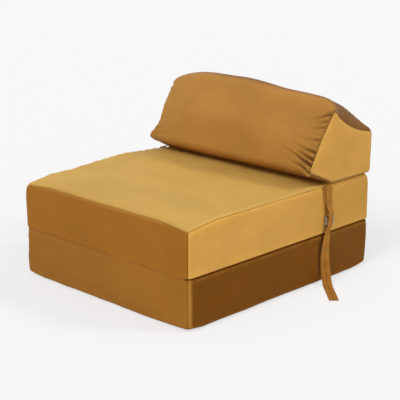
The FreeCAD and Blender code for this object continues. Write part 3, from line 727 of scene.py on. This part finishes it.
def strap_pieces(side, word, finish):
    """One strap set: the short loop that carries the rings, and the long strap in front of them."""
    loop_route = [
        (0.3511, STRAP_Y - 0.010, 0.2970), (0.3511, STRAP_Y - 0.009, 0.2700),
        (0.3512, STRAP_Y - 0.006, 0.2350), (0.3511, STRAP_Y - 0.002, 0.2150),
        (0.3511, STRAP_Y, BAR_Z + 0.002),
    ]
    for turn in BEND_TURNS:
        angle = math.radians(turn)
        loop_route.append((BAR_X + BEND * math.cos(angle), STRAP_Y, BAR_Z + BEND * math.sin(angle)))
    loop_route += [(0.3530, STRAP_Y, 0.2140), (0.3528, STRAP_Y, 0.2230)]
    rows = [row + (0, 1, 0, 1) for row in loop_route]
    loop = tape(f"{word}_loop_tape", rows, LOOP_WIDTH, LOOP_THICKNESS, 6, finish, side)
    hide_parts(f"{word}_ring_loop")
    rows = []
    for x, y, z, spread in LONG_ROUTE:
        share = min(1, max(0, (TURN_START - z) / (TURN_START - TURN_END)))
        share = share * share * (3 - 2 * share)
        angle = TAIL_TURN * share
        rows.append((x, y, z, math.sin(angle), math.cos(angle), 0, spread))
    long_tape = tape(f"{word}_long_tape", rows, LONG_WIDTH, LONG_THICKNESS, 7, finish, side)
    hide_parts(f"{word}_long_strap")


# A hinge cloth: half its length, its thickness, where its ends begin to recede, and its section, as how
# far out from the cushions it lies and how high.
HINGE_HALF, HINGE_THICKNESS, HINGE_STRAIGHT = 0.336, 0.0007, 0.30
HINGE_STATIONS = 110
HINGE_SECTION = (
    (-0.0042, 0.0048), (-0.0024, 0.0036), (-0.0011, 0.0022), (-0.0005, 0.0010), (-0.0008, 0.0),
    (-0.0005, -0.0010), (-0.0011, -0.0022), (-0.0024, -0.0036), (-0.0042, -0.0048),
)


def hinge_cloth(name, y, z, outward, finish, node):
    """The strip of cloth that joins two cushions along an edge and folds about it."""
    xs = np.linspace(-HINGE_HALF, HINGE_HALF, HINGE_STATIONS)
    points, faces = [], []
    for x in xs:
        sway = 0.00025 * wave(x, 0.037) + 0.0002 * wave(x, 0.0113)
        sway -= 0.0035 * max(0, (abs(x) - HINGE_STRAIGHT) / (HINGE_HALF - HINGE_STRAIGHT)) ** 2
        for out, up in HINGE_SECTION:
            points.append((x, y + outward * (out + sway), z + up))
        for out, up in HINGE_SECTION[::-1]:
            points.append((x, y + outward * (out + sway - HINGE_THICKNESS), z + up))
    size = 2 * len(HINGE_SECTION)
    for index in range(len(xs) - 1):
        for turn in range(size):
            follow = (turn + 1) % size
            a, b = index * size, (index + 1) * size
            quad = [a + turn, a + follow, b + follow, b + turn]
            faces.append(quad if outward < 0 else quad[::-1])
    first = list(range(size))
    last = [(len(xs) - 1) * size + turn for turn in range(size)]
    faces.append(first[::-1] if outward < 0 else first)
    faces.append(last if outward < 0 else last[::-1])
    strip = piece(name, points, faces, [finish], None, None)
    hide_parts(node)
    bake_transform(strip)


# A zip tape: its stations along, the heights of its edges and folds, and the order round its section.
TAPE_STATIONS = 120
TAPE_RISES = (0.0002, 0.0012, 0.0030, 0.0049)
TAPE_THICKNESS = 0.0009
TAPE_ROUND = (0, 2, 4, 6, 7, 5, 3, 1)
# A zip's teeth: the distance between them, how high they reach, and one tooth's section as how far along
# the zip and how far out it lies.
TOOTH_PITCH, TOOTH_RISE, TOOTH_OFFSET, TOOTH_CAP = 0.0016, 0.0019, 0.0006, 0.0005
TOOTH_SECTION = (
    (-0.00058, 0.0003), (-0.00040, 0.0011), (0.0, 0.0015), (0.00040, 0.0011), (0.00058, 0.0003),
)
TEETH_MARGIN = 0.003


def zip_tapes(face, level, half):
    """The points and faces of a zip's two woven tapes."""
    points, faces = [], []
    around = len(TAPE_ROUND)
    for way in (-1, 1):
        start = len(points)
        for x in np.linspace(-half, half, TAPE_STATIONS):
            for up in TAPE_RISES:
                lift = 0.00012 * math.sin(x * 2 * math.pi / 0.043 + way)
                points.append((x, face + lift, level + way * up))
                points.append((x, face - TAPE_THICKNESS, level + way * up))
        for index in range(TAPE_STATIONS - 1):
            a, b = start + index * around, start + (index + 1) * around
            for turn in range(around):
                here, follow = TAPE_ROUND[turn], TAPE_ROUND[(turn + 1) % around]
                quad = [a + here, a + follow, b + follow, b + here]
                faces.append(quad if way > 0 else quad[::-1])
        for row, flip in ((start, False), (start + (TAPE_STATIONS - 1) * around, True)):
            cap = [row + place for place in TAPE_ROUND]
            faces.append(cap[::-1] if (way > 0) != flip else cap)
    return points, faces


def zip_teeth(face, level, half):
    """The points and faces of a zip's teeth, one closed solid for each tooth."""
    points, faces = [], []
    around = len(TOOTH_SECTION)
    for tooth in range(int((2 * half - 2 * TEETH_MARGIN) / TOOTH_PITCH)):
        x = -half + TEETH_MARGIN + TOOTH_PITCH * (tooth + 0.5)
        low, high = level - TOOTH_RISE, level + TOOTH_RISE
        if tooth % 2:
            low += TOOTH_OFFSET
        else:
            high -= TOOTH_OFFSET
        start = len(points)
        levels = (low, low + TOOTH_CAP, high - TOOTH_CAP, high)
        for z in levels:
            squeeze = 0.6 if z in (low, high) else 1.0
            for along, out in TOOTH_SECTION:
                points.append((x + along * squeeze, face + 0.00005 + out * squeeze, z))
        for row in range(len(levels) - 1):
            for turn in range(around):
                follow = (turn + 1) % around
                a, b = start + row * around, start + (row + 1) * around
                faces.append([a + turn, b + turn, b + follow, a + follow])
        faces.append([start + turn for turn in range(around)])
        faces.append([start + (len(levels) - 1) * around + turn for turn in range(around)][::-1])
    return points, faces


def zip_parts(prefix, rear, level, half, tape_finish, coil_finish):
    """The woven tapes and the coil of teeth of one zip."""
    face = rear - 0.001
    points, faces = zip_tapes(face, level, half)
    tapes = piece(f"{prefix}_zip_webbing", points, faces, [tape_finish], None, prefix)
    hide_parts(f"{prefix}_zip_tapes")
    points, faces = zip_teeth(face, level, half)
    coil = piece(f"{prefix}_zip_teeth", points, faces, [coil_finish], None, prefix, smooth=False)
    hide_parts(f"{prefix}_zip_coil")


# How far the base's lower corners are off the floor, the seat swells in its middle and along its left
# edge, and its front and its front corners sink.
BASE_CORNER_RISE = 0.0065
SEAT_SWELL, LEFT_SWELL = 0.0060, 0.0100
FRONT_SINK, CORNER_SINK = 0.0025, 0.0105


def base_corners(skin, way):
    """The corners of the base's underside are rounded up off the floor a little."""
    side = blurred(np.abs(skin[:, 0]), 0.27, 0.35)
    end = blurred(np.abs(skin[:, 1]), 0.32, 0.40)
    return BASE_CORNER_RISE * side * end * (1 - blurred(skin[:, 2], 0.0, 0.11))


def base_still(skin, way):
    """The seat lies on the base's top."""
    return blurred(way[:, 2], 0.0, 0.9)


def seat_crown(skin, way):
    """The free part of the seat is fuller in its middle and sinks towards its front corners."""
    across = 1 - np.abs(skin[:, 0] / 0.35) ** np.where(skin[:, 0] < 0, 9, 3)
    free = 1 - np.clip(np.abs((skin[:, 1] + 0.105) / 0.295), 0, 1) ** 3
    crowned = SEAT_SWELL * np.clip(across, 0, 1) * free * np.clip(way[:, 2], 0, 1)
    beside_pillow = np.clip(1 - np.abs(skin[:, 1] + 0.02) / 0.2, 0, 1) ** 0.8
    far_edge = blurred(-skin[:, 0], 0.05, 0.33) * beside_pillow
    side = blurred(np.abs(skin[:, 0]), 0.23, 0.35)
    front = blurred(-skin[:, 1], 0.27, 0.40)
    sunk = (FRONT_SINK + CORNER_SINK * side) * front
    return crowned + (LEFT_SWELL * far_edge - sunk) * blurred(skin[:, 2], 0.17, 0.29)


def seat_still(skin, way):
    """The pillow lies on the rear of the seat, and the seat on the base."""
    pressed = blurred(skin[:, 1], 0.12, 0.18) * blurred(way[:, 2], 0.1, 0.8)
    return np.maximum(pressed, blurred(-way[:, 2], 0.0, 0.9))


# The weave of a zip tape: the height of one row of its herringbone, how far that leans, and its threads.
HERRINGBONE_RISE, HERRINGBONE_LEAN, THREAD_PITCH = 0.0012, 0.0006, 0.0007


def zip_webbing():
    """Woven zip tape with a fine herringbone."""
    finish = Finish("zip_webbing")
    where = finish.place()
    along = finish.part_of(where, 0)
    up = finish.part_of(where, 2)
    slope = (up * (math.pi / HERRINGBONE_RISE)).sine() * HERRINGBONE_LEAN
    weave = ((along + slope) * (2 * math.pi / THREAD_PITCH)).sine() * 0.5 + 0.5
    patches = finish.noise(where, scale=40.0)
    return finish.surface({
        "Base Color": finish.mix(weave * 0.6 + patches * 0.4, linear(112, 72, 28), linear(150, 102, 46)),
        "Roughness": 0.8 + patches * 0.1,
        "Normal": finish.bump(weave, 0.0002),
    })


def coil_nylon():
    """The satin nylon of the zips' teeth."""
    finish = Finish("zip_coil_nylon")
    where = finish.place()
    patches = finish.noise(where, scale=300.0)
    return finish.surface({
        "Base Color": finish.mix(patches, linear(128, 84, 34), linear(150, 102, 44)),
        "Roughness": 0.34 + patches * 0.12,
        "Normal": finish.bump(patches, 0.00005),
    })


def metal(name, pale, dull, low_rough, high_rough, scratch):
    """Plated metal with fine handling marks."""
    finish = Finish(name)
    where = finish.place()
    marks = finish.noise(finish.stretched(where, (1.0, 1.0, 0.12)), scratch, detail=4.0, roughness=0.6)
    marks = marks.within(0.35, 0.7)
    stains = finish.noise(where, scale=60.0, detail=3.0).within(0.35, 0.7)
    return finish.surface({
        "Base Color": finish.mix(stains, pale, dull),
        "Metallic": 1.0,
        "Roughness": low_rough + marks * (high_rough - low_rough),
        "Normal": finish.bump(marks, 0.00003),
    })


# Each face has its own lighter or darker copy of the same golden velvet: painted light, shade and sheen for
# how each face catches the light.
# The nap is brushed along x on the fronts, the top and the pillow, and along y on the sides.
ALONG_X, ALONG_Y = (0.6, 1.0, 1.0), (1.0, 0.6, 1.0)
# The seat's top is darker where it rounds down to the front: painted shade.
SEAT_TOP = velvet(
    "seat_top_velvet", linear(199, 158, 83), nap=ALONG_X, turn=(1, -0.380, -0.402, linear(182, 135, 64)),
)
# The seat's sides grow darker towards the rear: painted shade.
SEAT_SIDE = velvet(
    "seat_side_velvet", linear(209, 156, 75), nap=ALONG_Y, turn=(1, -0.05, 0.38, linear(192, 142, 64)),
)
# The fronts are paler where they round up to the top: painted highlight.
FRONT = velvet(
    "front_velvet", linear(151, 98, 32), nap=ALONG_X, turn=(2, 0.284, 0.303, linear(190, 144, 72)),
)
# The base's sides are pale on their rounded front corners, a painted highlight, and much darker beyond them,
# painted shade.
BASE_SIDE = velvet(
    "base_side_velvet", linear(172, 122, 54), nap=(1.0, 0.5, 1.0),
    turn=(1, -0.392, -0.379, linear(110, 63, 1)),
)
BASE_FRONT = velvet("base_front_velvet", linear(149, 99, 36), nap=ALONG_X)
# The pillow's wrap is much darker over its rear slope and back: painted shade.
WRAP = velvet(
    "pillow_wrap_velvet", linear(172, 122, 58), dark=0.84, bright=1.14, nap=ALONG_X,
    turn=(1, 0.214, 0.240, linear(115, 68, 6)), sheen=0.04, rough=0.44, gloss=0.2,
)
END = velvet("pillow_end_velvet", linear(203, 151, 73))
# The straps are a little darker lower down: painted shade.
STRAP = velvet("strap_velvet", linear(158, 106, 42), turn=(2, 0.02, 0.17, linear(166, 113, 45)))
HINGE = velvet("hinge_velvet", linear(150, 98, 38))
RING_METAL = metal("ring_plating", linear(176, 170, 160), linear(140, 132, 120), 0.14, 0.30, 900.0)
ZIP_METAL = metal("zip_plating", linear(200, 196, 186), linear(172, 167, 156), 0.25, 0.42, 1200.0)
ZIP_WEBBING = zip_webbing()
COIL = coil_nylon()

base_cushion = foam_block(
    "base_cushion", low=(-0.350, -0.400, 0.0), high=(0.350, 0.400, 0.150),
    radii={"upright": 0.020, "top": 0.004, "bottom": 0.010},
    pull={"corners": 0.001, "top": 0.001, "bottom": 0.002},
    crown=base_corners, still=base_still, zip_level=0.075,
    finishes=[BASE_SIDE, BASE_SIDE, BASE_FRONT, BASE_FRONT, BASE_FRONT, BASE_FRONT],
    body="base", seed=3,
)
seat_cushion = foam_block(
    "seat_cushion", low=(-0.350, -0.400, 0.1505), high=(0.350, 0.400, 0.3005),
    radii={"upright": 0.018, "top": 0.021, "bottom": 0.004},
    pull={"corners": 0.001, "top": 0.004, "bottom": 0.000},
    crown=seat_crown, still=seat_still, zip_level=0.2255,
    finishes=[SEAT_SIDE, SEAT_SIDE, FRONT, FRONT, SEAT_TOP, SEAT_TOP],
    body="seat", seed=8,
)
pillow = pillow_cushion([WRAP, END, END])
for cushion, prefix in ((base_cushion, "base"), (seat_cushion, "seat")):
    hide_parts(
        f"{prefix}_foam_core", f"{prefix}_top_panel", f"{prefix}_underside_panel",
        f"{prefix}_front_border", f"{prefix}_left_border", f"{prefix}_right_border",
        f"{prefix}_rear_border_lower", f"{prefix}_rear_border_upper",
    )
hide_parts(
    "pillow_fill", "pillow_wrap_panel", "pillow_rear_strip", "pillow_base_panel", "pillow_left_end",
    "pillow_right_end",
)

for side, word in ((1, "right"), (-1, "left")):
    strap_pieces(side, word, STRAP)
hinge_cloth("front_hinge_cloth", -0.401, 0.15025, -1, HINGE, "front_hinge_strip")
hinge_cloth("rear_hinge_cloth", 0.401, 0.30075, 1, HINGE, "rear_hinge_strip")
zip_parts("base", 0.400, 0.0750, 0.310, ZIP_WEBBING, COIL)
zip_parts("seat", 0.400, 0.2255, 0.310, ZIP_WEBBING, COIL)
zip_parts("pillow", ZIP_REAR, ZIP_LEVEL, 0.300, ZIP_WEBBING, COIL)


def refinish(node, finish):
    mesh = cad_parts[node].data
    mesh.materials.clear()
    mesh.materials.append(finish)


for prefix in ("base", "seat", "pillow"):
    for ending in ("zip_stops", "zip_slider", "zip_pull"):
        refinish(f"{prefix}_{ending}", ZIP_METAL)
for word in ("right", "left"):
    refinish(f"{word}_inner_ring", RING_METAL)
    refinish(f"{word}_outer_ring", RING_METAL)


FLOOR_HALF, FLOOR_LEVEL = 30.0, -0.0005
# How much of the floor is shown as plain paper, so that only a faint shadow is left.
PAPER_SHARE = 0.65
WORLD_STRENGTH = 0.46
# Each lamp's strength, its spread in degrees and the way towards it.
LAMPS = (
    ("key_light", 1.1, 13, (0.62, 0.48, 0.64)), ("front_light", 1.7, 28, (0.12, -0.80, 0.76)),
)
# The camera: its place, its turn and dip in radians, and its lens in pixels for a picture 400 wide.
CAMERA_PLACE = (2.4665, -2.5275, 1.2477)
CAMERA_TURN, CAMERA_DIP = -0.7722, 0.2827
LENS_PIXELS, PICTURE_PIXELS, SENSOR = 1200, 400, 36.0


def studio():
    """A pale floor, an even pale surround, two soft lamps and the camera."""
    scene = bpy.context.scene
    mesh = bpy.data.meshes.new("studio_floor")
    corners = [(x * FLOOR_HALF, y * FLOOR_HALF, 0) for x, y in ((-1, -1), (1, -1), (1, 1), (-1, 1))]
    mesh.from_pydata(corners, [], [(0, 1, 2, 3)])
    floor = bpy.data.objects.new("studio_floor", mesh)
    floor.location.z = FLOOR_LEVEL
    scene.collection.objects.link(floor)
    finish = Finish("studio_floor")
    values = {"Base Color": (0.84, 0.84, 0.84, 1), "Roughness": 0.9}
    lit = finish.add("ShaderNodeBsdfPrincipled", {}, values, "BSDF")
    paper = finish.add("ShaderNodeEmission", {}, {"Color": linear(250, 250, 250), "Strength": 1.0})
    share = finish.ray("Is Camera Ray") * PAPER_SHARE
    both = finish.add("ShaderNodeMixShader", {}, {0: share, 1: lit, 2: paper})
    mesh.materials.append(finish.end_with(both))

    scene.world = bpy.data.worlds.new("studio")
    around = Finish("studio", scene.world)
    mirrored = around.ray("Is Glossy Ray").or_more(around.ray("Is Transmission Ray"))
    seen = around.ray("Is Camera Ray").or_more(mirrored)
    light = around.add("ShaderNodeBackground", {}, {"Color": (1, 1, 1, 1), "Strength": WORLD_STRENGTH})
    shown = around.add("ShaderNodeBackground", {}, {"Color": linear(248, 248, 248), "Strength": 1.0})
    around.end_with(around.add("ShaderNodeMixShader", {}, {0: seen, 1: light, 2: shown}))

    for name, strength, spread, way in LAMPS:
        lamp = bpy.data.lights.new(name, "SUN")
        lamp.energy = strength
        lamp.angle = math.radians(spread)
        light = bpy.data.objects.new(name, lamp)
        light.rotation_euler = Vector(way).to_track_quat("Z", "Y").to_euler()
        scene.collection.objects.link(light)

    level = math.cos(CAMERA_DIP)
    ahead = Vector((math.sin(CAMERA_TURN) * level, math.cos(CAMERA_TURN) * level, -math.sin(CAMERA_DIP)))
    lens = bpy.data.cameras.new("camera")
    lens.sensor_width = SENSOR
    lens.lens = SENSOR * LENS_PIXELS / PICTURE_PIXELS
    eye = bpy.data.objects.new("camera", lens)
    eye.location = CAMERA_PLACE
    eye.rotation_euler = ahead.to_track_quat("-Z", "Y").to_euler()
    scene.collection.objects.link(eye)
    scene.camera = eye


studio()
bpy.context.scene.view_settings.view_transform = "Standard"
